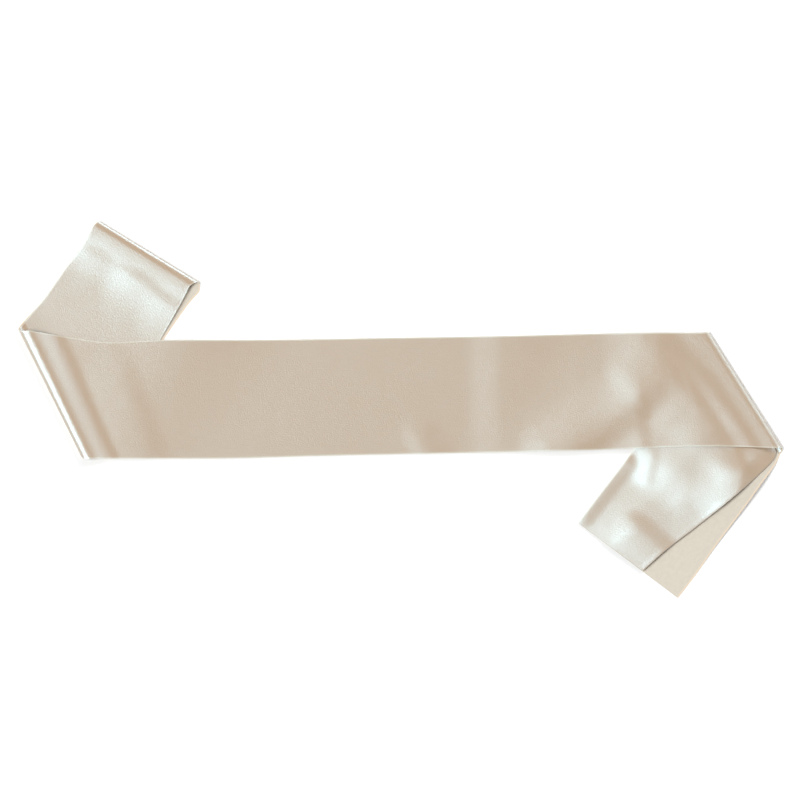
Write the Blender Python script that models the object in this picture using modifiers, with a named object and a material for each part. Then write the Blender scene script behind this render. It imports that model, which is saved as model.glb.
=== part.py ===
"""Satin sash, lying folded on a flat surface.

One strip of satin, shiny on its face and matte on its back, is folded in half crosswise.
The doubled strip runs from the upper left to the lower right as a long band, and is turned
under at both ends: the left end comes out above the band as a short stub, whose top is the
crosswise fold, and the right end comes out below it as a tail with the two cut ends.

Every stretch of the strip is a wall of cloth. It is lofted through sections, each a line
across the strip, and given its thickness by Solidify. Plan positions are in millimetres,
x to the right and y away, measured from the middle of the laid-out sash, and z is up.
"""

import math
from collections import namedtuple

import bpy
from mathutils import Vector

# Driving sizes, in millimetres
WALL = 1.0
SEAM_GAP = 0.3
PLY_STEP = WALL + SEAM_GAP
LOWEST_PLY = WALL / 2
LAYER_INSET = 0.5
MILLIMETRE = 0.001

# Height of the middle of a second ply where it lies flat, and how the band rises over the
# two plies of stub or tail under it: by how much, from how far outside them, how gently
UPPER_PLY = LOWEST_PLY + PLY_STEP
BAND_LIFT = 2 * PLY_STEP
LIFT_MARGIN = 6.0
LIFT_RAMP = 30.0

# Number of wall panels across the strip, around a fold, and along each stretch
ACROSS = 10
AROUND = 10
ALONG_FOLD_SIDE = 13
ALONG_MIDDLE = 12
ALONG_STUB = 12
ALONG_TAIL = 16
FOLD_SIDE_SHARE = 0.2

# A fold runs along its outermost line from one end to the other. depth is how far its round
# part reaches in, crown the height of the outer ply's middle on top, and run how far the
# cloth takes to come down from there. slant is the angle at which the strip crosses it.
Fold = namedtuple("Fold", "start end side slant depth crown run")
LEFT_FOLD = Fold(
    start=(-310.2, 64.8), end=(-258.6, -39.4), side=1, slant=26.6,
    depth=(9.0, 3.5), crown=(12.0, 7.0), run=(18.0, 10.0))
RIGHT_FOLD = Fold(
    start=(251.0, 62.3), end=(310.1, -31.6), side=-1, slant=-32.8,
    depth=(5.0, 3.5), crown=(9.0, 7.4), run=(14.0, 10.0))
TOP_ROLL = Fold(
    start=(-244.8, 153.1), end=(-162.4, 102.7), side=-1, slant=12.0,
    depth=(5.0, 5.0), crown=(8.0, 8.0), run=(14.0, 14.0))

# Sections of the long band, left to right: its far edge and its near edge
BandSection = namedtuple("BandSection", "far_x far_y near_x near_y")
BAND_SECTIONS = (
    BandSection(-267.6, 58.5, -223.7, -39.8),
    BandSection(-238.3, 54.8, -191.2, -39.8),
    BandSection(-194.5, 56.4, -142.5, -39.8),
    BandSection(-118.1, 56.4, -61.3, -37.6),
    BandSection(-8.5, 58.1, 52.4, -35.2),
    BandSection(88.9, 59.7, 153.9, -32.9),
    BandSection(186.4, 62.1, 243.2, -29.8),
)

# Sections of the stub, from the left fold up: both edges of its upper ply, and how far
# the ply under it shows past the right one
StubSection = namedtuple("StubSection", "left_x left_y right_x right_y shows")
STUB_SECTIONS = (
    StubSection(-288.7, 90.7, -231.8, 0.4, 0.0),
    StubSection(-271.6, 114.9, -205.0, 40.2, 1.2),
    StubSection(-257.0, 134.4, -179.1, 84.9, 6.3),
)

# Sections of the tail, from the right fold down: the left edge, the right edge of the ply
# under it, the point where the upper ply is tucked under, and the width tucked there
TailSection = namedtuple("TailSection", "left_x left_y right_x right_y tuck_x tuck_y tucked")
TAIL_SECTIONS = (
    TailSection(235.1, 36.9, 304.1, -45.1, 303.3, -40.2, 3.0),
    TailSection(214.0, 2.0, 293.5, -59.7, 289.5, -54.0, 7.0),
    TailSection(194.5, -31.3, 281.4, -76.7, 268.0, -73.1, 12.5),
    TailSection(174.2, -51.6, 257.8, -108.4, 238.7, -96.6, 20.5),
    TailSection(159.6, -71.0, 239.1, -135.2, 214.8, -114.9, 27.0),
    TailSection(144.1, -92.2, 225.3, -153.1, 196.9, -131.1, 29.4),
)

# Soft swells that the cloth keeps where it doesn't lie quite flat: the middle of each, the
# direction it runs in degrees, its reach along and across that, and its height
Swell = namedtuple("Swell", "x y heading half_length half_width height")
BAND_SWELLS = (
    Swell(-227.8, 7.7, 116.0, 60.0, 26.0, 1.2),
    Swell(72.7, 11.8, 85.0, 75.0, 32.0, 1.4),
    Swell(133.6, 28.0, 50.0, 55.0, 26.0, 1.2),
    Swell(204.2, -12.6, 60.0, 50.0, 24.0, 1.6),
)
STUB_SWELLS = (
    Swell(-226.0, 108.0, 149.0, 42.0, 16.0, 1.2),
)
TAIL_SWELLS = (
    Swell(196.0, -75.0, 52.0, 34.0, 22.0, 1.4),
    Swell(236.0, -62.0, 40.0, 26.0, 18.0, 1.2),
)

# The upper ply of the tail rises over its tucked strip, and rounds over at the tuck. The
# tuck starts just clear of the fold, and its panels are those of flat part, round and strip
TUCK_ROUND = 0.7
TUCK_RUN = 4.0
TUCK_MARGIN = 1.5
TUCK_RAMP = 6.0
TUCK_START = 0.97
TUCK_CLEARANCE = 1.0
TUCK_PANELS = (10, 3, 4)

# Where the hidden edges of stub and tail lie under the band: from the fold to daylight
STUB_HIDDEN_EDGE = (LEFT_FOLD.end, (-189.0, 58.0))
TAIL_HIDDEN_EDGE = (RIGHT_FOLD.start, (194.5, -31.3))


# Small helpers

def blend(first, last, share):
    """Value a share of the way from first to last."""
    return first + (last - first) * share


def ease(share):
    """Rise from 0 to 1 that starts and ends level."""
    share = min(max(share, 0.0), 1.0)
    return share * share * (3 - 2 * share)


def smooth_path(points):
    """Smooth plan curve through points, read by its share of the length, with that length."""
    points = [Vector(point) for point in points]
    stops = [0.0]
    for before, after in zip(points, points[1:]):
        stops.append(stops[-1] + (after - before).length)
    last = len(points) - 1
    slopes = []
    for index in range(last + 1):
        low = max(index - 1, 0)
        high = min(index + 1, last)
        slopes.append((points[high] - points[low]) / (stops[high] - stops[low]))

    def at(share):
        place = share * stops[-1]
        index = 0
        while index < last - 1 and place > stops[index + 1]:
            index += 1
        gap = stops[index + 1] - stops[index]
        step = (place - stops[index]) / gap
        rest = 1 - step
        ends = points[index] * (1 + 2 * step) * rest ** 2 + points[index + 1] * (3 - 2 * step) * step ** 2
        pull = slopes[index] * step * rest ** 2 - slopes[index + 1] * step ** 2 * rest
        return ends + pull * gap

    return at, stops[-1]


# Folds

def fold_lines(fold):
    """Start of a fold's outermost line, its length, its direction, and the way inwards."""
    start = Vector(fold.start)
    along = Vector(fold.end) - start
    length = along.length
    along.normalize()
    inward = Vector((-along.y, along.x)) * fold.side
    return start, length, along, inward


def fold_point(fold, inset, turn, across):
    """Middle of a ply on a fold.

    inset is how far the ply lies inside the outer one, turn runs from 0 on top to 1
    underneath, and across from 0 at the fold's start to 1 at its end.
    """
    start, length, along, inward = fold_lines(fold)
    depth = blend(*fold.depth, across) - inset
    low = LOWEST_PLY + inset
    half_height = (blend(*fold.crown, across) - inset - low) / 2
    angle = math.pi * (0.5 - turn)
    girth = math.pi * (depth + half_height) / 2
    drift = girth * math.tan(math.radians(fold.slant)) * (0.5 - turn)
    inwards = WALL / 2 + inset + depth * (1 - math.cos(angle))
    plan = start + along * (across * length + drift) + inward * inwards
    return Vector((plan.x, plan.y, low + half_height * (1 + math.sin(angle))))


def fold_rows(fold, inset, shares_across):
    """Sections round a fold, from its top to its underside."""
    rows = []
    for step in range(AROUND + 1):
        rows.append([fold_point(fold, inset, step / AROUND, across) for across in shares_across])
    return rows


def fold_rise(fold, plan, flat_height):
    """Height of a ply beside a fold: flat away from it, and up to the fold's crown."""
    start, length, along, inward = fold_lines(fold)
    offset = plan - start
    across = min(max(offset.dot(along) / length, 0.0), 1.0)
    distance = offset.dot(inward) - WALL / 2 - blend(*fold.depth, across)
    crown = blend(*fold.crown, across)
    return blend(flat_height, crown, ease(1 - distance / blend(*fold.run, across)))


def swell_height(swells, plan):
    """How far the swells of one stretch lift the cloth at a plan point."""
    height = 0.0
    for swell in swells:
        offset = plan - Vector((swell.x, swell.y))
        heading = Vector((math.cos(math.radians(swell.heading)), math.sin(math.radians(swell.heading))))
        lengthwise = offset.dot(heading) / swell.half_length
        sideways = offset.dot(Vector((-heading.y, heading.x))) / swell.half_width
        height += swell.height * ease(1 - math.hypot(lengthwise, sideways))
    return height


# Heights and rows of the band

def lift_over(edge, plan):
    """How far the band is lifted by the two plies whose hidden edge is given."""
    start, end = Vector(edge[0]), Vector(edge[1])
    along = (end - start).normalized()
    outside = (plan - start).dot(Vector((along.y, -along.x)))
    return BAND_LIFT * (1 - ease((outside - LIFT_MARGIN) / LIFT_RAMP))


def band_height(plan):
    """Height of the middle of the band's upper ply."""
    lift = max(lift_over(STUB_HIDDEN_EDGE, plan), lift_over(TAIL_HIDDEN_EDGE, plan))
    height = UPPER_PLY + lift + swell_height(BAND_SWELLS, plan)
    return max(fold_rise(LEFT_FOLD, plan, height), fold_rise(RIGHT_FOLD, plan, height))


def even_shares(count, first=0.0, last=1.0):
    """Evenly spaced shares from first to last."""
    return [blend(first, last, step / count) for step in range(count + 1)]


def band_rows(inset, shares_across):
    """Sections along the band between its two folds, closer together beside them."""
    edges = []
    for across, columns in ((0, ("far_x", "far_y")), (1, ("near_x", "near_y"))):
        points = [fold_point(LEFT_FOLD, inset, 0, across).xy]
        for section in BAND_SECTIONS:
            points.append((getattr(section, columns[0]), getattr(section, columns[1])))
        points.append(fold_point(RIGHT_FOLD, inset, 0, across).xy)
        edges.append(smooth_path(points)[0])
    shares_along = even_shares(ALONG_FOLD_SIDE, 0.0, FOLD_SIDE_SHARE)
    shares_along += even_shares(ALONG_MIDDLE, FOLD_SIDE_SHARE, 1 - FOLD_SIDE_SHARE)[1:]
    shares_along += even_shares(ALONG_FOLD_SIDE, 1 - FOLD_SIDE_SHARE, 1.0)[1:]
    rows = []
    for along in shares_along[1:-1]:
        far, near = edges[0](along), edges[1](along)
        row = []
        for across in shares_across:
            plan = far.lerp(near, across)
            row.append(Vector((plan.x, plan.y, band_height(plan) - inset)))
        rows.append(row)
    return rows


def doubled_band(inset, edge_inset):
    """One ply of the band with its share of both turned-under folds."""
    share = edge_inset / fold_lines(LEFT_FOLD)[1]
    shares_across = even_shares(ACROSS, share, 1 - share)
    left = fold_rows(LEFT_FOLD, inset, shares_across)
    right = fold_rows(RIGHT_FOLD, inset, shares_across)
    return left[::-1] + band_rows(inset, shares_across) + right


# Rows of the stub

def stub_rows(inset, top_turn, shows):
    """Sections of one ply of the stub, from the left fold to the top roll.

    top_turn is 0 for the ply that reaches the roll's top and 1 for the one that reaches
    its underside, and shows is the share of each section's showing strip that is added.
    """
    left = [fold_point(LEFT_FOLD, inset, 1, 0).xy]
    right = [fold_point(LEFT_FOLD, inset, 1, 1).xy]
    for section in STUB_SECTIONS:
        left.append((section.left_x, section.left_y))
        right.append((section.right_x + section.shows * shows, section.right_y))
    left.append(fold_point(TOP_ROLL, 0, top_turn, 0).xy)
    right.append(fold_point(TOP_ROLL, 0, top_turn, 1).xy)
    left_edge, length = smooth_path(left)
    right_edge = smooth_path(right)[0]
    seam = SEAM_GAP / length
    last = 1.0 if top_turn == 0 else 1 - seam
    rows = []
    for along in even_shares(ALONG_STUB, seam, last):
        start, end = left_edge(along), right_edge(along)
        row = []
        for across in even_shares(ACROSS):
            plan = start.lerp(end, across)
            height = LOWEST_PLY + inset
            if top_turn == 0:
                height = fold_rise(TOP_ROLL, plan, height + swell_height(STUB_SWELLS, plan))
            row.append(Vector((plan.x, plan.y, height)))
        rows.append(row)
    return rows


# Rows of the tail

def tail_path(inset, across, columns):
    """Plan curve down the tail through two columns of its table, from the right fold."""
    points = [fold_point(RIGHT_FOLD, inset, 1, across).xy]
    for section in TAIL_SECTIONS:
        points.append((getattr(section, columns[0]), getattr(section, columns[1])))
    return smooth_path(points)


def tuck_path():
    """Curve down the tuck: its place in plan, and as third value the width tucked there."""
    start = fold_point(RIGHT_FOLD, PLY_STEP, 1, TUCK_START).xy
    start += fold_lines(RIGHT_FOLD)[3] * TUCK_CLEARANCE
    points = [(start.x, start.y, TAIL_SECTIONS[0].tucked)]
    for section in TAIL_SECTIONS:
        points.append((section.tuck_x, section.tuck_y, section.tucked))
    return smooth_path(points)[0]


def tail_under_rows():
    """Sections of the tail's under ply, flat from edge to edge."""
    left_edge, length = tail_path(0, 0, ("left_x", "left_y"))
    right_edge = tail_path(0, 1, ("right_x", "right_y"))[0]
    rows = []
    for along in even_shares(ALONG_TAIL, SEAM_GAP / length, 1.0):
        start, end = left_edge(along), right_edge(along)
        inset = LAYER_INSET / (end - start).length
        row = []
        for across in even_shares(ACROSS, inset, 1.0):
            plan = start.lerp(end, across)
            row.append(Vector((plan.x, plan.y, LOWEST_PLY)))
        rows.append(row)
    return rows


def tail_upper_rows():
    """Sections of the tail's upper ply: its flat part, the round of the tuck, the tucked strip."""
    left_edge, length = tail_path(PLY_STEP, 0, ("left_x", "left_y"))
    tuck_line = tuck_path()
    down_tuck = (tuck_line(1.0) - tuck_line(0.0)).xy.normalized()
    outward = Vector((-down_tuck.y, down_tuck.x))
    radius = (PLY_STEP + TUCK_ROUND) / 2
    flat_panels, round_panels, tucked_panels = TUCK_PANELS
    rows = []
    for along in even_shares(ALONG_TAIL, SEAM_GAP / length, 1.0):
        start = left_edge(along)
        tucked = tuck_line(along).z
        turn_at = tuck_line(along).xy - outward * (radius + WALL / 2)
        row = []
        for across in even_shares(flat_panels):
            plan = start.lerp(turn_at, across)
            to_turn = (turn_at - plan).length
            over_strip = ease((tucked + TUCK_MARGIN + TUCK_RAMP - to_turn) / TUCK_RAMP)
            rounding = ease((TUCK_RUN - to_turn) / TUCK_RUN)
            height = UPPER_PLY + PLY_STEP * over_strip + TUCK_ROUND * rounding
            height += swell_height(TAIL_SWELLS, plan) * (1 - rounding)
            row.append(Vector((plan.x, plan.y, height)))
        for step in range(1, round_panels + 1):
            angle = math.pi * (0.5 - step / round_panels)
            plan = turn_at + outward * radius * math.cos(angle)
            row.append(Vector((plan.x, plan.y, UPPER_PLY + radius * (1 + math.sin(angle)))))
        across_strip = (turn_at - start).normalized()
        back = down_tuck * (2 * across_strip.dot(down_tuck)) - across_strip
        for step in range(1, tucked_panels + 1):
            plan = turn_at + back * (tucked * step / tucked_panels)
            row.append(Vector((plan.x, plan.y, UPPER_PLY)))
        rows.append(row)
    return rows


# Making the objects

def satin_material(name, colour, roughness):
    """One side of the satin: its colour and how rough it is."""
    material = bpy.data.materials.new(name)
    material.use_nodes = True
    shader = material.node_tree.nodes["Principled BSDF"]
    shader.inputs["Base Color"].default_value = (*colour, 1.0)
    shader.inputs["Roughness"].default_value = roughness
    shader.inputs["Metallic"].default_value = 0.0
    material.diffuse_color = (*colour, 1.0)
    return material


def cloth_wall(name, rows, material, collection):
    """Loft an open surface through the rows and give it the cloth's thickness."""
    columns = len(rows[0])
    vertices = [point * MILLIMETRE for row in rows for point in row]
    faces = []
    for row in range(len(rows) - 1):
        for column in range(columns - 1):
            corner = row * columns + column
            faces.append((corner, corner + 1, corner + columns + 1, corner + columns))
    mesh = bpy.data.meshes.new(name)
    mesh.from_pydata(vertices, [], faces)
    mesh.shade_smooth()
    mesh.materials.append(material)
    cloth = bpy.data.objects.new(name, mesh)
    collection.objects.link(cloth)
    wall = cloth.modifiers.new("Cloth thickness", "SOLIDIFY")
    wall.thickness = WALL * MILLIMETRE
    wall.offset = 0.0
    wall.use_even_offset = True
    return cloth


def build_sash():
    """Remove what the scene holds and build the sash, stretch by stretch."""
    for existing in list(bpy.data.objects):
        bpy.data.objects.remove(existing)
    collection = bpy.data.collections.new("Satin sash")
    bpy.context.scene.collection.children.link(collection)

    shiny = satin_material("Satin face", (0.64, 0.52, 0.43), 0.32)
    matte = satin_material("Satin back", (0.74, 0.64, 0.52), 0.75)

    cloth_wall("front_band", doubled_band(0.0, 0.0), shiny, collection)
    cloth_wall("hidden_band", doubled_band(PLY_STEP, LAYER_INSET), matte, collection)
    top_roll = fold_rows(TOP_ROLL, 0.0, even_shares(ACROSS))
    cloth_wall("stub_upper", stub_rows(PLY_STEP, 0, 0.0) + top_roll[1:], shiny, collection)
    cloth_wall("stub_under", stub_rows(0.0, 1, 1.0), matte, collection)
    cloth_wall("tail_upper", tail_upper_rows(), shiny, collection)
    cloth_wall("tail_under", tail_under_rows(), matte, collection)


build_sash()
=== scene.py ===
# %% [markdown]
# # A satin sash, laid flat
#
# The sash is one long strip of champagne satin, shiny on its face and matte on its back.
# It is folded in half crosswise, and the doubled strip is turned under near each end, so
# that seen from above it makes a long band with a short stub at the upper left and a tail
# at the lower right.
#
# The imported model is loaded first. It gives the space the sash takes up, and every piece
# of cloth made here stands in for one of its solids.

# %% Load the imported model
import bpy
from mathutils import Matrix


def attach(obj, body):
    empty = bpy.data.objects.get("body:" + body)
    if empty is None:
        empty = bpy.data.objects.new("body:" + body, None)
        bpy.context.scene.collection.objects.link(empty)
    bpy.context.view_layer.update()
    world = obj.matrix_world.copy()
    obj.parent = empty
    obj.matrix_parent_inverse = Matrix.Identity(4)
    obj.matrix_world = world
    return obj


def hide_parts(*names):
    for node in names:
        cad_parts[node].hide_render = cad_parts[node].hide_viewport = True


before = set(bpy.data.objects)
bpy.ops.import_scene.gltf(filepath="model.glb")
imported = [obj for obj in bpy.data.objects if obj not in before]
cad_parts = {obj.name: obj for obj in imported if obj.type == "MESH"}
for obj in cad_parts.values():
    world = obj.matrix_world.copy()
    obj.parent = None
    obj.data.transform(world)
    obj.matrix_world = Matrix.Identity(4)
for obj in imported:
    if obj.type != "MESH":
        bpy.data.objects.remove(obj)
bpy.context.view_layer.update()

# %% Tools used below
import math
from collections import Counter, namedtuple

import bpy
from mathutils import Vector

MILLIMETRE = 0.001

# %% [markdown]
# ## The camera
#
# The sash is seen straight from above. A long lens high up shows it almost without
# perspective, as a catalogue picture does. Its field is set so that the picture is
# as wide as 649.6 mm of the surface, which is 0.812 mm for each of its 800 pixels.

# %% Camera straight above
PICTURE_WIDTH = 0.6496
CAMERA_HEIGHT = 12.0
camera_data = bpy.data.cameras.new("Camera above")
camera_data.sensor_width = 36.0
camera_data.lens = camera_data.sensor_width * CAMERA_HEIGHT / PICTURE_WIDTH
camera_data.clip_start = 0.1
camera_data.clip_end = 50.0
camera = bpy.data.objects.new("Camera above", camera_data)
camera.location = (-0.0004, 0.0077, CAMERA_HEIGHT)
bpy.context.scene.collection.objects.link(camera)
bpy.context.scene.camera = camera
print("lens, mm:", round(camera_data.lens, 1))

# %% [markdown]
# ## The surface and the light
#
# Satin is read from what it reflects, so the lights are placed for the sheen. A large
# softbox to the left brightens every slope that faces it. A second one to the upper right
# draws the bright lines on the rolls that face that way. The room is dim and even, so that
# cloth lying flat keeps its own champagne colour. The surface is a plain white table.

# %% White table
def plain_material(name, colour, roughness):
    """Material of one colour, for what isn't part of the sash."""
    material = bpy.data.materials.new(name)
    material.use_nodes = True
    shader = material.node_tree.nodes["Principled BSDF"]
    shader.inputs["Base Color"].default_value = (*colour, 1.0)
    shader.inputs["Roughness"].default_value = roughness
    shader.inputs["Specular IOR Level"].default_value = 0.1
    return material


TABLE_REACH = 6.0
white = plain_material("White table", (0.95, 0.95, 0.95), 0.9)
white.node_tree.nodes["Principled BSDF"].inputs["Emission Color"].default_value = (1.0, 1.0, 1.0, 1.0)
white.node_tree.nodes["Principled BSDF"].inputs["Emission Strength"].default_value = 0.1
table_mesh = bpy.data.meshes.new("White table")
table_mesh.from_pydata(
    [(-TABLE_REACH, -TABLE_REACH, 0), (TABLE_REACH, -TABLE_REACH, 0),
     (TABLE_REACH, TABLE_REACH, 0), (-TABLE_REACH, TABLE_REACH, 0)],
    [], [(0, 1, 2, 3)])
table_mesh.materials.append(white)
table = bpy.data.objects.new("White_table", table_mesh)
bpy.context.scene.collection.objects.link(table)

# %% Softboxes and room
def softbox(name, azimuth, from_zenith, distance, width, height, brightness, colour):
    """Softbox aimed at the sash. Its brightness is what the satin mirrors of it."""
    light = bpy.data.lights.new(name, "AREA")
    light.shape = "RECTANGLE"
    light.size = width
    light.size_y = height
    light.energy = brightness * math.pi * width * height
    light.color = colour
    lamp = bpy.data.objects.new(name, light)
    around = math.radians(azimuth)
    down = math.radians(from_zenith)
    direction = Vector((math.sin(down) * math.cos(around), math.sin(down) * math.sin(around), math.cos(down)))
    lamp.location = direction * distance
    lamp.rotation_mode = "QUATERNION"
    lamp.rotation_quaternion = direction.to_track_quat("Z", "Y")
    bpy.context.scene.collection.objects.link(lamp)
    share = brightness * width * height * math.cos(down) / distance ** 2 / math.pi
    print(name, "gives the table", round(share, 3))


softbox("Left softbox", 185, 33, 12.0, 5.6, 5.2, 12.0, (0.97, 1.0, 1.0))
softbox("Right softbox", 54, 58, 12.0, 4.8, 4.8, 9.0, (1.0, 1.0, 1.0))

room = bpy.data.worlds.new("Room")
room.use_nodes = True
height = room.node_tree.nodes.new("ShaderNodeTexCoord")
parts = room.node_tree.nodes.new("ShaderNodeSeparateXYZ")
walls = room.node_tree.nodes.new("ShaderNodeMapRange")
walls.inputs["From Min"].default_value = 0.0
walls.inputs["From Max"].default_value = 1.0
walls.inputs["To Min"].default_value = 0.60
walls.inputs["To Max"].default_value = 0.12
room.node_tree.links.new(height.outputs["Generated"], parts.inputs["Vector"])
room.node_tree.links.new(parts.outputs["Z"], walls.inputs["Value"])
room.node_tree.links.new(walls.outputs["Result"], room.node_tree.nodes["Background"].inputs["Strength"])
room.node_tree.nodes["Background"].inputs["Color"].default_value = (1.0, 0.99, 0.975, 1.0)
bpy.context.scene.world = room
bpy.context.scene.view_settings.view_transform = "Standard"

# %% [markdown]
# ## Sizes and plan of the sash
#
# All sizes are in millimetres, x to the right and y away, measured from the middle of
# the laid-out sash. The cloth is drawn as its middle surface, through sections that run
# across the strip, and gets its thickness later. The plan is the one the solids have:
# only the cloth is thinner here, as real satin is, so its plies lie closer together.

# %% Sizes
CLOTH = 0.3
PLY_STEP = 0.6
LOWEST_PLY = 0.2
UPPER_PLY = LOWEST_PLY + PLY_STEP
STRIP_WIDTH = 95.0
EDGE_INSET = 0.4

# Ridges fade out within this distance of a turned-under fold's top, and of the top roll's
RIDGE_FADE = 30.0
ROLL_FADE = 10.0

# Number of cloth panels across the strip, around a fold, and along each stretch
ACROSS = 44
AROUND = 20
ALONG_BAND = 230
ALONG_STUB = 52
ALONG_TAIL = 72

# %% Folds
# A fold runs along its outermost line from one end to the other. depth is how far its round
# part reaches in, crown the height of the outer ply's middle on top, and run how far the
# cloth takes to come down from there. slant is the angle at which the strip crosses it.
# The last four are given at the fold's start and at its end.
Fold = namedtuple("Fold", "start end side slant depth crown run")
LEFT_FOLD = Fold(
    start=(-310.2, 64.8), end=(-258.6, -39.4), side=1, slant=(26.6, 26.6),
    depth=(7.5, 5.8), crown=(8.2, 6.6), run=(29.0, 25.0))
RIGHT_FOLD = Fold(
    start=(251.0, 62.3), end=(310.1, -31.6), side=-1, slant=(-32.8, -32.8),
    depth=(5.0, 4.0), crown=(3.2, 4.6), run=(46.0, 38.0))
TOP_ROLL = Fold(
    start=(-244.8, 153.1), end=(-163.8, 103.5), side=-1, slant=(-17.0, -34.0),
    depth=(5.5, 6.5), crown=(3.9, 4.4), run=(44.0, 50.0))

# %% Sections of band, stub and tail
# The long band, left to right: its far edge and its near edge
BandSection = namedtuple("BandSection", "far_x far_y near_x near_y")
BAND_SECTIONS = (
    BandSection(-267.6, 58.5, -223.7, -39.8),
    BandSection(-238.3, 54.8, -191.2, -39.8),
    BandSection(-194.5, 56.4, -142.5, -39.8),
    BandSection(-118.1, 56.4, -61.3, -37.6),
    BandSection(-8.5, 58.1, 52.4, -35.2),
    BandSection(88.9, 59.7, 153.9, -32.9),
    BandSection(186.4, 62.1, 243.2, -29.8),
)

# The stub, from the left fold up: both edges of its upper ply, and how far the ply under
# it shows past the right one
StubSection = namedtuple("StubSection", "left_x left_y right_x right_y shows")
STUB_SECTIONS = (
    StubSection(-288.7, 90.7, -231.8, 0.4, 0.0),
    StubSection(-271.6, 114.9, -205.0, 40.2, 1.2),
    StubSection(-257.0, 134.4, -179.1, 84.9, 6.3),
)

# The tail, from the right fold down: the left edge, the right edge of the ply under it,
# the point where the upper ply is tucked under, and the width tucked there
TailSection = namedtuple("TailSection", "left_x left_y right_x right_y tuck_x tuck_y tucked")
TAIL_SECTIONS = (
    TailSection(235.1, 36.9, 304.1, -45.1, 303.3, -40.2, 3.0),
    TailSection(214.0, 2.0, 293.5, -59.7, 289.5, -54.0, 7.0),
    TailSection(190.5, -31.3, 281.4, -76.7, 268.0, -73.1, 12.5),
    TailSection(175.2, -51.6, 257.8, -108.4, 238.7, -96.6, 20.5),
    TailSection(160.2, -71.0, 239.1, -135.2, 214.8, -114.9, 27.0),
    TailSection(144.1, -92.2, 225.3, -153.1, 196.9, -131.1, 29.4),
)

# The band rises over the hidden part of stub and tail: where their hidden edge lies, from the
# fold to daylight, how high the band is lifted there, from how far outside, and how gently
Lift = namedtuple("Lift", "start end height margin ramp")
STUB_LIFT = Lift(LEFT_FOLD.end, (-189.0, 58.0), 1.2, 0.0, 90.0)
TAIL_LIFT = Lift(RIGHT_FOLD.start, (194.5, -31.3), 1.4, 38.0, 70.0)

# %% [markdown]
# ## Creases
#
# Cloth that was folded and dropped never lies quite flat. It keeps long soft ridges, and
# satin shows each one as a bright slope with a darker one behind it. They could come from
# a cloth simulation, but then they fall anywhere. Here each ridge is listed, with its own
# crest line, its own slope on either side, and its own height.

# %% Ridges of each stretch
# Walking along the crest from start to end, left and right are how wide the slope is on
# that side, and height is how far the crest stands above the cloth around it
Ridge = namedtuple("Ridge", "start end left right height")
BAND_RIDGES = (
    Ridge((-203.0, -42.0), (-226.0, 20.0), 46.0, 20.0, 0.4),
    Ridge((84.0, -40.0), (84.0, 64.0), 33.0, 120.0, 0.75),
    Ridge((24.0, -40.0), (14.0, -22.0), 14.0, 24.0, 0.4),
    Ridge((130.0, -39.0), (190.0, 9.0), 42.0, 22.0, 1.5),
    Ridge((206.0, 33.0), (206.0, 66.0), 44.0, 30.0, 1.1),
    Ridge((207.0, -42.0), (205.0, -12.0), 14.0, 80.0, -0.6),
)
# The stub comes down from its roll over its whole length, and is dented just below it
STUB_SWELLING = (
    Ridge(TOP_ROLL.start, TOP_ROLL.end, 20.0, 110.0, 1.2),
)
STUB_RIDGES = (
    Ridge((-250.2, 123.0), (-247.2, 121.2), 12.0, 30.0, 0.4),
    Ridge((-216.2, 104.2), (-212.2, 101.8), 12.0, 42.0, 0.65),
    Ridge((-190.2, 84.2), (-187.2, 82.4), 12.0, 38.0, 0.65),
)
# The tail swells where it comes out from under the band, and both its plies follow that
TAIL_SWELLING = (
    Ridge((298.0, -40.0), (247.0, -3.0), 118.0, 60.0, 4.8),
)
TAIL_RIDGES = (
    Ridge((148.0, -87.0), (182.0, -43.0), 10.0, 12.0, 1.2),
    Ridge((171.8, -115.2), (238.0, -39.0), 30.0, 90.0, 1.3),
    Ridge((232.0, -60.0), (209.0, -43.0), 30.0, 26.0, 0.7),
    Ridge((185.0, -88.0), (164.0, -72.0), 40.0, 40.0, 0.9),
    Ridge((212.0, -116.0), (193.0, -99.0), 28.0, 16.0, 1.1),
    Ridge((271.0, -76.0), (276.0, -54.0), 38.0, 14.0, 2.0),
    Ridge((200.0, -54.0), (203.0, -38.0), 14.0, 9.0, 0.4),
)

# %% Helpers for lines and slopes
def blend(first, last, share):
    """Value a share of the way from first to last."""
    return first + (last - first) * share


def ease(share):
    """Rise from 0 to 1 that starts and ends level."""
    share = min(max(share, 0.0), 1.0)
    return share * share * (3 - 2 * share)


def settle(share):
    """Fall from 1 to 0 that starts level and lands softly."""
    share = min(max(share, 0.0), 1.0)
    return (1 - share) ** 3 * (1 + 3 * share)


def even_shares(count, first=0.0, last=1.0):
    """Evenly spaced shares from first to last."""
    return [blend(first, last, step / count) for step in range(count + 1)]


def smooth_path(points):
    """Smooth plan curve through points, read by its share of the length, with that length."""
    points = [Vector(point) for point in points]
    stops = [0.0]
    for before, after in zip(points, points[1:]):
        stops.append(stops[-1] + (after - before).length)
    last = len(points) - 1
    slopes = []
    for index in range(last + 1):
        low = max(index - 1, 0)
        high = min(index + 1, last)
        slopes.append((points[high] - points[low]) / (stops[high] - stops[low]))

    def at(share):
        place = share * stops[-1]
        index = 0
        while index < last - 1 and place > stops[index + 1]:
            index += 1
        gap = stops[index + 1] - stops[index]
        step = (place - stops[index]) / gap
        rest = 1 - step
        ends = points[index] * (1 + 2 * step) * rest ** 2 + points[index + 1] * (3 - 2 * step) * step ** 2
        pull = slopes[index] * step * rest ** 2 - slopes[index + 1] * step ** 2 * rest
        return ends + pull * gap

    return at, stops[-1]


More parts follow.
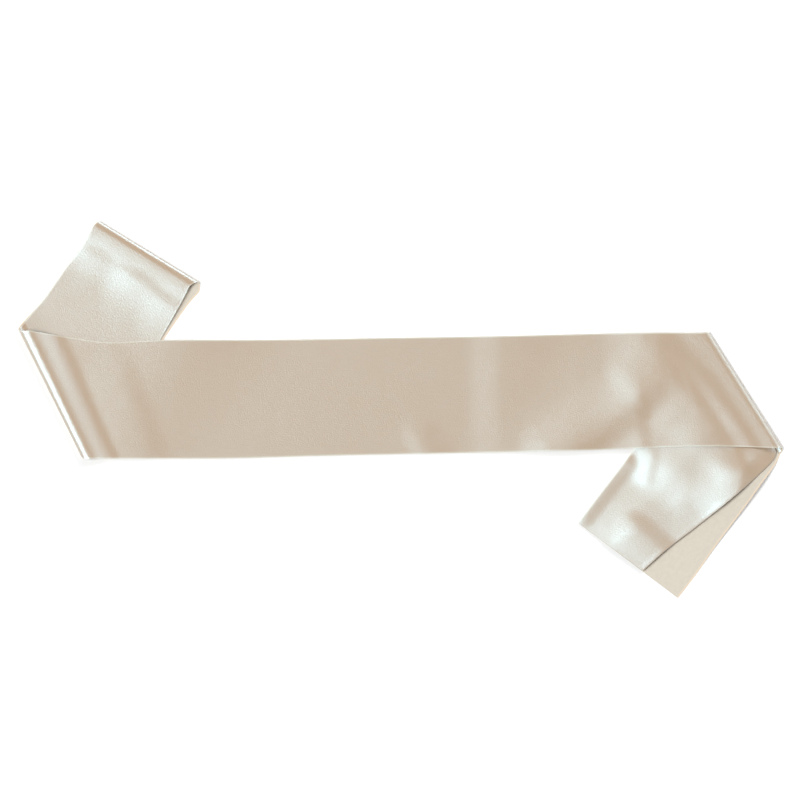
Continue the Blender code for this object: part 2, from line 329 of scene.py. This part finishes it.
def ridge_height(ridges, plan):
    """How far the ridges of one stretch lift the cloth at a plan point."""
    height = 0.0
    for ridge in ridges:
        start = Vector(ridge.start)
        along = Vector(ridge.end) - start
        length = along.length
        along.normalize()
        offset = plan - start
        forward = offset.dot(along)
        leftward = offset.dot(Vector((-along.y, along.x)))
        width = ridge.left if leftward > 0 else ridge.right
        beyond = max(-forward, forward - length, 0.0)
        height += ridge.height * ease(1 - math.hypot(leftward / width, beyond / (ridge.left + ridge.right) * 2))
    return height


# %% [markdown]
# ## Folds
#
# A fold is a roll of cloth. Seen from its end it is half an ellipse, open inwards, with
# one ply inside the other. The strip crosses it at a slant, so going round it the cloth
# also drifts along it.

# %% Cloth around a fold
def fold_lines(fold):
    """Start of a fold's outermost line, its length, its direction, and the way inwards."""
    start = Vector(fold.start)
    along = Vector(fold.end) - start
    length = along.length
    along.normalize()
    inward = Vector((-along.y, along.x)) * fold.side
    return start, length, along, inward


def fold_point(fold, inset, turn, across):
    """Middle of a ply on a fold.

    inset is how far the ply lies inside the outer one, turn runs from 0 on top to 1
    underneath, and across from 0 at the fold's start to 1 at its end.
    """
    start, length, along, inward = fold_lines(fold)
    depth = blend(*fold.depth, across) - inset
    low = LOWEST_PLY + inset
    half_height = (blend(*fold.crown, across) - inset - low) / 2
    angle = math.pi * (0.5 - turn)
    girth = math.pi * (depth + half_height) / 2
    drift = girth * math.tan(math.radians(blend(*fold.slant, across))) * (0.5 - turn)
    inwards = CLOTH / 2 + inset + depth * (1 - math.cos(angle))
    plan = start + along * (across * length + drift) + inward * inwards
    return Vector((plan.x, plan.y, low + half_height * (1 + math.sin(angle))))


def fold_rows(fold, inset, shares_across):
    """Sections round a fold, from its top to its underside."""
    rows = []
    for step in range(AROUND + 1):
        rows.append([fold_point(fold, inset, step / AROUND, across) for across in shares_across])
    return rows


def beside_fold(fold, plan):
    """How far a plan point is in from a fold's top, and how far along the fold as a share."""
    start, length, along, inward = fold_lines(fold)
    offset = plan - start
    across = min(max(offset.dot(along) / length, 0.0), 1.0)
    return offset.dot(inward) - CLOTH / 2 - blend(*fold.depth, across), across


def fold_rise(fold, plan, flat_height):
    """Height of a ply beside a fold: flat away from it, and up to the fold's crown."""
    distance, across = beside_fold(fold, plan)
    return blend(flat_height, blend(*fold.crown, across), settle(distance / blend(*fold.run, across)))


def ridges_beside(folds, ridges, plan):
    """Height of the ridges, which fade out at the tops of the folds."""
    fade = 1.0
    for fold in folds:
        reach = ROLL_FADE if fold == TOP_ROLL else RIDGE_FADE
        fade = min(fade, ease(beside_fold(fold, plan)[0] / reach))
    return ridge_height(ridges, plan) * fade


# %% [markdown]
# ## The long band
#
# The band is the stretch between the two turned-under folds. Both plies follow the same
# heights, one just under the other, and rise gently over the hidden part of stub and tail.

# %% Heights and sections of the band
def lift_over(lift, plan):
    """How far the band is lifted by the two plies hidden under one of its ends."""
    start, end = Vector(lift.start), Vector(lift.end)
    along = (end - start).normalized()
    outside = (plan - start).dot(Vector((along.y, -along.x)))
    return lift.height * (1 - ease((outside - lift.margin) / lift.ramp))


def band_height(plan):
    """Height of the middle of the band's upper ply."""
    height = UPPER_PLY + max(lift_over(STUB_LIFT, plan), lift_over(TAIL_LIFT, plan))
    ridges = BAND_RIDGES + STUB_SWELLING + STUB_RIDGES + TAIL_SWELLING + TAIL_RIDGES
    height += ridges_beside((LEFT_FOLD, RIGHT_FOLD), ridges, plan)
    return fold_rise(RIGHT_FOLD, plan, fold_rise(LEFT_FOLD, plan, height))


def band_rows(inset, shares_across):
    """Sections along the band between its two folds."""
    edges = []
    for across, columns in ((0, ("far_x", "far_y")), (1, ("near_x", "near_y"))):
        points = [fold_point(LEFT_FOLD, inset, 0, across).xy]
        for section in BAND_SECTIONS:
            points.append((getattr(section, columns[0]), getattr(section, columns[1])))
        points.append(fold_point(RIGHT_FOLD, inset, 0, across).xy)
        edges.append(smooth_path(points)[0])
    rows = []
    for along in even_shares(ALONG_BAND)[1:-1]:
        far, near = edges[0](along), edges[1](along)
        row = []
        for across in shares_across:
            plan = far.lerp(near, across)
            row.append(Vector((plan.x, plan.y, band_height(plan) - inset)))
        rows.append(row)
    return rows


def doubled_band(inset, edge_inset):
    """One ply of the band with its share of both turned-under folds."""
    share = edge_inset / fold_lines(LEFT_FOLD)[1]
    shares_across = even_shares(ACROSS, share, 1 - share)
    left = fold_rows(LEFT_FOLD, inset, shares_across)
    right = fold_rows(RIGHT_FOLD, inset, shares_across)
    return left[::-1] + band_rows(inset, shares_across) + right


# %% [markdown]
# ## The stub
#
# The stub ends in the crosswise fold that doubles the strip: a soft roll, matte inside.
# Its lower ply is skewed a little to the right, so a sliver of it shows there.

# %% Sections of the stub
def stub_rows(inset, top_turn, shows):
    """Sections of one ply of the stub, from the left fold to the top roll.

    top_turn is 0 for the ply that reaches the roll's top and 1 for the one that reaches
    its underside, and shows is the share of each section's showing strip that is added.
    """
    left = [fold_point(LEFT_FOLD, inset, 1, 0).xy]
    right = [fold_point(LEFT_FOLD, inset, 1, 1).xy]
    for section in STUB_SECTIONS:
        left.append((section.left_x, section.left_y))
        right.append((section.right_x + section.shows * shows, section.right_y))
    left.append(fold_point(TOP_ROLL, 0, top_turn, 0).xy)
    right.append(fold_point(TOP_ROLL, 0, top_turn, 1).xy)
    left_edge = smooth_path(left)[0]
    right_edge = smooth_path(right)[0]
    rows = []
    for along in even_shares(ALONG_STUB):
        start, end = left_edge(along), right_edge(along)
        row = []
        for across in even_shares(ACROSS):
            plan = start.lerp(end, across)
            height = LOWEST_PLY + inset
            if top_turn == 0:
                height += ridges_beside((LEFT_FOLD,), STUB_SWELLING, plan)
                height = fold_rise(TOP_ROLL, plan, height)
                height += ridges_beside((LEFT_FOLD, TOP_ROLL), STUB_RIDGES, plan)
            row.append(Vector((plan.x, plan.y, height)))
        rows.append(row)
    return rows


# %% [markdown]
# ## The tail
#
# Both cut ends of the strip lie at the end of the tail. The upper ply has its right edge
# tucked under along a diagonal, which lets the matte back of the lower ply show.

# %% Sizes of the tuck
TUCK_ROUND = 0.25
TUCK_RUN = 4.0
TUCK_MARGIN = 1.5
TUCK_RAMP = 16.0
TUCK_START = 0.97
TUCK_CLEARANCE = 1.0
TUCK_PANELS = (40, 8, 8)

# %% Sections of the tail
def tail_path(inset, across, columns):
    """Plan curve down the tail through two columns of its table, from the right fold."""
    points = [fold_point(RIGHT_FOLD, inset, 1, across).xy]
    for section in TAIL_SECTIONS:
        points.append((getattr(section, columns[0]), getattr(section, columns[1])))
    return smooth_path(points)


def tuck_path():
    """Curve down the tuck: its place in plan, and as third value the width tucked there."""
    start = fold_point(RIGHT_FOLD, PLY_STEP, 1, TUCK_START).xy
    start += fold_lines(RIGHT_FOLD)[3] * TUCK_CLEARANCE
    points = [(start.x, start.y, TAIL_SECTIONS[0].tucked)]
    for section in TAIL_SECTIONS:
        points.append((section.tuck_x, section.tuck_y, section.tucked))
    return smooth_path(points)[0]


def tail_under_rows():
    """Sections of the tail's under ply, which follows the tail's swelling."""
    left_edge, length = tail_path(0, 0, ("left_x", "left_y"))
    right_edge = tail_path(0, 1, ("right_x", "right_y"))[0]
    rows = []
    for along in even_shares(ALONG_TAIL):
        start, end = left_edge(along), right_edge(along)
        inset = EDGE_INSET / (end - start).length
        row = []
        for across in even_shares(ACROSS, inset, 1.0):
            plan = start.lerp(end, across)
            height = LOWEST_PLY + ridges_beside((RIGHT_FOLD,), TAIL_SWELLING, plan)
            row.append(Vector((plan.x, plan.y, height)))
        rows.append(row)
    return rows


def tail_upper_rows():
    """Sections of the tail's upper ply: its flat part, the round of the tuck, the tucked strip."""
    left_edge, length = tail_path(PLY_STEP, 0, ("left_x", "left_y"))
    tuck_line = tuck_path()
    down_tuck = (tuck_line(1.0) - tuck_line(0.0)).xy.normalized()
    outward = Vector((-down_tuck.y, down_tuck.x))
    radius = (PLY_STEP + TUCK_ROUND) / 2
    flat_panels, round_panels, tucked_panels = TUCK_PANELS
    rows = []
    for along in even_shares(ALONG_TAIL):
        start = left_edge(along)
        tucked = tuck_line(along).z
        turn_at = tuck_line(along).xy - outward * (radius + CLOTH / 2)
        row = []
        for across in even_shares(flat_panels):
            plan = start.lerp(turn_at, across)
            to_turn = (turn_at - plan).length
            over_strip = ease((tucked + TUCK_MARGIN + TUCK_RAMP - to_turn) / TUCK_RAMP)
            rounding = ease((TUCK_RUN - to_turn) / TUCK_RUN)
            height = UPPER_PLY + PLY_STEP * over_strip + TUCK_ROUND * rounding
            row.append(Vector((plan.x, plan.y, height)))
        for step in range(1, round_panels + 1):
            angle = math.pi * (0.5 - step / round_panels)
            plan = turn_at + outward * radius * math.cos(angle)
            row.append(Vector((plan.x, plan.y, UPPER_PLY + radius * (1 + math.sin(angle)))))
        across_strip = (turn_at - start).normalized()
        back = down_tuck * (2 * across_strip.dot(down_tuck)) - across_strip
        for step in range(1, tucked_panels + 1):
            plan = turn_at + back * (tucked * step / tucked_panels)
            row.append(Vector((plan.x, plan.y, UPPER_PLY)))
        for point in row:
            point.z += ridges_beside((RIGHT_FOLD,), TAIL_SWELLING + TAIL_RIDGES, point.xy)
        rows.append(row)
    return rows


# %% [markdown]
# ## The satin
#
# In satin each lengthwise thread floats over several crosswise ones. The floats make the
# face shine, and spread a light across the strip far more than along it. That is why the
# tail and the stub, which lie at another angle than the band, look silvery beside it. The
# shader does this with anisotropy along the weave. Fine floats and slubs go into the bump,
# and a narrow woven edge runs down both sides of the strip. The back is matte and creamier.
# On the back the woven edge is painted warmer: partly the real edge, partly painted warm shade between the plies.

# %% Helpers for materials
def add_node(tree, kind, **settings):
    """New node with its settings."""
    node = tree.nodes.new(kind)
    for name, value in settings.items():
        setattr(node, name, value)
    return node


def cloth_place(tree, across_size, along_size):
    """Place on the cloth, counted in patches of the given size in millimetres."""
    place = add_node(tree, "ShaderNodeUVMap", uv_map="Weave")
    scaled = add_node(tree, "ShaderNodeMapping")
    scaled.inputs["Scale"].default_value = (1 / (across_size * MILLIMETRE), 1 / (along_size * MILLIMETRE), 1.0)
    tree.links.new(place.outputs["UV"], scaled.inputs["Vector"])
    return scaled.outputs["Vector"]


def cloth_noise(tree, across_size, along_size, detail=2.0):
    """Uneven pattern with patches of the given size in millimetres, from 0 to 1."""
    noise = add_node(tree, "ShaderNodeTexNoise")
    noise.inputs["Scale"].default_value = 1.0
    noise.inputs["Detail"].default_value = detail
    tree.links.new(cloth_place(tree, across_size, along_size), noise.inputs["Vector"])
    return noise.outputs["Fac"]


def spread(tree, value, low, high):
    """The middle of a pattern's range, stretched to run from low to high."""
    mapped = add_node(tree, "ShaderNodeMapRange")
    mapped.inputs["From Min"].default_value = 0.3
    mapped.inputs["From Max"].default_value = 0.7
    mapped.inputs["To Min"].default_value = low
    mapped.inputs["To Max"].default_value = high
    tree.links.new(value, mapped.inputs["Value"])
    return mapped.outputs["Result"]


def mix_colours(tree, share, first, last):
    """Blend of two colours, each a value or another node's output."""
    mixer = add_node(tree, "ShaderNodeMix", data_type="RGBA")
    tree.links.new(share, mixer.inputs["Factor"])
    for socket, colour in ((mixer.inputs[6], first), (mixer.inputs[7], last)):
        if isinstance(colour, tuple):
            socket.default_value = (*colour, 1.0)
        else:
            tree.links.new(colour, socket)
    return mixer.outputs[2]


def woven_edge(tree, width):
    """1 on the narrow woven edge down both sides of the strip, 0 between them. On the back this edge also carries a
    painted warm shade.
    """
    place = add_node(tree, "ShaderNodeUVMap", uv_map="Weave")
    parts = add_node(tree, "ShaderNodeSeparateXYZ")
    tree.links.new(place.outputs["UV"], parts.inputs["Vector"])
    from_middle = add_node(tree, "ShaderNodeMath", operation="SUBTRACT")
    from_middle.inputs[1].default_value = STRIP_WIDTH / 2 * MILLIMETRE
    tree.links.new(parts.outputs["X"], from_middle.inputs[0])
    distance = add_node(tree, "ShaderNodeMath", operation="ABSOLUTE")
    tree.links.new(from_middle.outputs[0], distance.inputs[0])
    edge = add_node(tree, "ShaderNodeMapRange")
    edge.inputs["From Min"].default_value = (STRIP_WIDTH / 2 - width) * MILLIMETRE
    edge.inputs["From Max"].default_value = (STRIP_WIDTH / 2 - width * 0.7) * MILLIMETRE
    tree.links.new(distance.outputs[0], edge.inputs["Value"])
    return edge.outputs["Result"]


def bump(tree, height, distance, strength, below=None):
    """Relief from a pattern, on top of the relief below it."""
    relief = add_node(tree, "ShaderNodeBump")
    relief.inputs["Distance"].default_value = distance * MILLIMETRE
    relief.inputs["Strength"].default_value = strength
    tree.links.new(height, relief.inputs["Height"])
    if below is not None:
        tree.links.new(below, relief.inputs["Normal"])
    return relief.outputs["Normal"]


def weave_floats(tree, float_width, float_length):
    """Staggered floats of the satin weave, long along the strip: 1 on a float, 0 between."""
    turned = add_node(tree, "ShaderNodeMapping")
    turned.inputs["Rotation"].default_value = (0.0, 0.0, math.pi / 2)
    tree.links.new(cloth_place(tree, 1.0, 1.0), turned.inputs["Vector"])
    floats = add_node(tree, "ShaderNodeTexBrick", offset=0.4, offset_frequency=2)
    floats.inputs["Color1"].default_value = (1, 1, 1, 1)
    floats.inputs["Color2"].default_value = (0.8, 0.8, 0.8, 1)
    floats.inputs["Mortar"].default_value = (0, 0, 0, 1)
    floats.inputs["Scale"].default_value = 1.0
    floats.inputs["Mortar Size"].default_value = float_width * 0.2
    floats.inputs["Mortar Smooth"].default_value = 0.6
    floats.inputs["Brick Width"].default_value = float_length
    floats.inputs["Row Height"].default_value = float_width
    tree.links.new(turned.outputs["Vector"], floats.inputs["Vector"])
    return floats.outputs["Color"]


# %% Shiny face
def satin_face():
    """The shiny side of the cloth."""
    material = bpy.data.materials.new("Satin face")
    material.use_nodes = True
    tree = material.node_tree
    shader = tree.nodes["Principled BSDF"]
    speckle = cloth_noise(tree, 1.0, 1.2)
    slubs = cloth_noise(tree, 0.7, 14.0)
    champagne = mix_colours(tree, spread(tree, slubs, 0.0, 1.0), (0.668, 0.417, 0.228), (0.702, 0.443, 0.252))
    colour = mix_colours(tree, woven_edge(tree, 1.2), champagne, (0.88, 0.70, 0.52))
    tree.links.new(colour, shader.inputs["Base Color"])
    tree.links.new(spread(tree, speckle, 0.31, 0.47), shader.inputs["Roughness"])
    shader.inputs["IOR"].default_value = 2.6
    shader.inputs["Specular IOR Level"].default_value = 1.0
    shader.inputs["Specular Tint"].default_value = (0.58, 0.87, 1.0, 1.0)
    shader.inputs["Anisotropic"].default_value = 0.6
    across = add_node(tree, "ShaderNodeTangent", direction_type="UV_MAP", uv_map="Weave")
    tree.links.new(across.outputs["Tangent"], shader.inputs["Tangent"])
    relief = bump(tree, weave_floats(tree, 0.16, 1.1), 0.02, 0.4)
    relief = bump(tree, speckle, 0.22, 0.6, relief)
    relief = bump(tree, slubs, 0.06, 0.5, relief)
    tree.links.new(relief, shader.inputs["Normal"])
    return material


# %% Matte back
def satin_back():
    """The matte side of the cloth."""
    material = bpy.data.materials.new("Satin back")
    material.use_nodes = True
    tree = material.node_tree
    shader = tree.nodes["Principled BSDF"]
    mottle = cloth_noise(tree, 2.6, 3.4)
    slubs = cloth_noise(tree, 0.8, 12.0)
    cream = mix_colours(tree, spread(tree, mottle, 0.0, 1.0), (0.668, 0.603, 0.513), (0.707, 0.642, 0.548))
    # Warmer, more orange woven edge on the back: partly the real edge, partly painted warm shade between the plies
    # and inside the rolls.
    colour = mix_colours(tree, woven_edge(tree, 1.3), cream, (0.84, 0.69, 0.53))
    tree.links.new(colour, shader.inputs["Base Color"])
    tree.links.new(spread(tree, slubs, 0.66, 0.8), shader.inputs["Roughness"])
    shader.inputs["Specular IOR Level"].default_value = 0.3
    relief = bump(tree, weave_floats(tree, 0.32, 0.5), 0.02, 0.4)
    relief = bump(tree, slubs, 0.05, 0.4, relief)
    tree.links.new(relief, shader.inputs["Normal"])
    return material


SHINY = satin_face()
MATTE = satin_back()

# %% [markdown]
# ## Making the cloth
#
# Each stretch is lofted through its sections, and the weave's place is written into its
# UV map in metres: x across the strip and y along it, measured on the cloth itself, so the
# threads follow every fold. A Solidify modifier then gives it its thickness and puts the
# matte back on the other side.

# %% Loft a stretch of cloth
def weave_places(rows):
    """Place of every point on the flat strip, in metres: across it and along it."""
    columns = len(rows[0])
    heading = (rows[1][columns // 2] - rows[0][columns // 2]).normalized()
    travelled = [(point - rows[0][0]).dot(heading) for point in rows[0]]
    places = []
    for index, row in enumerate(rows):
        if index:
            travelled = [far + (point - before).length for far, point, before in zip(travelled, row, rows[index - 1])]
        reach = [0.0]
        for before, after in zip(row, row[1:]):
            reach.append(reach[-1] + (after - before).length)
        for column in range(columns):
            places.append((reach[column] / reach[-1] * STRIP_WIDTH * MILLIMETRE, travelled[column] * MILLIMETRE))
    return places


def cloth_piece(name, rows, outer, inner):
    """Stretch of cloth through its sections, with the outer material on the side its faces look to."""
    columns = len(rows[0])
    vertices = [point * MILLIMETRE for row in rows for point in row]
    faces = []
    for row in range(len(rows) - 1):
        for column in range(columns - 1):
            corner = row * columns + column
            faces.append((corner, corner + 1, corner + columns + 1, corner + columns))
    mesh = bpy.data.meshes.new(name)
    mesh.from_pydata(vertices, [], faces)
    mesh.shade_smooth()
    faces_beside = Counter(key for face in mesh.polygons for key in face.edge_keys)
    for edge in mesh.edges:
        edge.use_edge_sharp = faces_beside[edge.key] == 1
    places = weave_places(rows)
    weave = mesh.uv_layers.new(name="Weave")
    for loop in mesh.loops:
        weave.data[loop.index].uv = places[loop.vertex_index]
    mesh.materials.append(outer)
    mesh.materials.append(inner)
    piece = bpy.data.objects.new(name, mesh)
    bpy.context.scene.collection.objects.link(piece)
    thickness = piece.modifiers.new("Cloth thickness", "SOLIDIFY")
    thickness.thickness = CLOTH * MILLIMETRE
    thickness.offset = 0.0
    thickness.use_even_offset = True
    thickness.material_offset = 1
    area = sum(face.area for face in mesh.polygons)
    lengths = [point.y for point in (Vector(place) for place in places)]
    print(name, "faces", len(faces), "area", round(area, 5), "m2, length", round(max(lengths) - min(lengths), 4), "m")
    return piece


# %% The six stretches
front_band = cloth_piece("front_band_satin", doubled_band(0.0, 0.0), SHINY, MATTE)
hidden_band = cloth_piece("hidden_band_satin", doubled_band(PLY_STEP, EDGE_INSET), MATTE, SHINY)
top_roll = fold_rows(TOP_ROLL, 0.0, even_shares(ACROSS))
stub_upper = cloth_piece("stub_upper_satin", stub_rows(PLY_STEP, 0, 0.0) + top_roll[1:], SHINY, MATTE)
stub_under = cloth_piece("stub_under_satin", stub_rows(0.0, 1, 1.0), MATTE, SHINY)
tail_upper = cloth_piece("tail_upper_satin", tail_upper_rows(), MATTE, SHINY)
tail_under = cloth_piece("tail_under_satin", tail_under_rows(), SHINY, MATTE)

# %% [markdown]
# ## What each piece is
#
# Every piece rides on the one body and replaces its solid, which is hidden.

def declare(piece, node):
    """Put a stretch of cloth on the body and hide the solid it replaces."""
    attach(piece, "root")
    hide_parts(node)


declare(stub_under, "stub_under")
declare(tail_under, "tail_under")
declare(stub_upper, "stub_upper")
declare(tail_upper, "tail_upper")
declare(hidden_band, "hidden_band")
declare(front_band, "front_band")
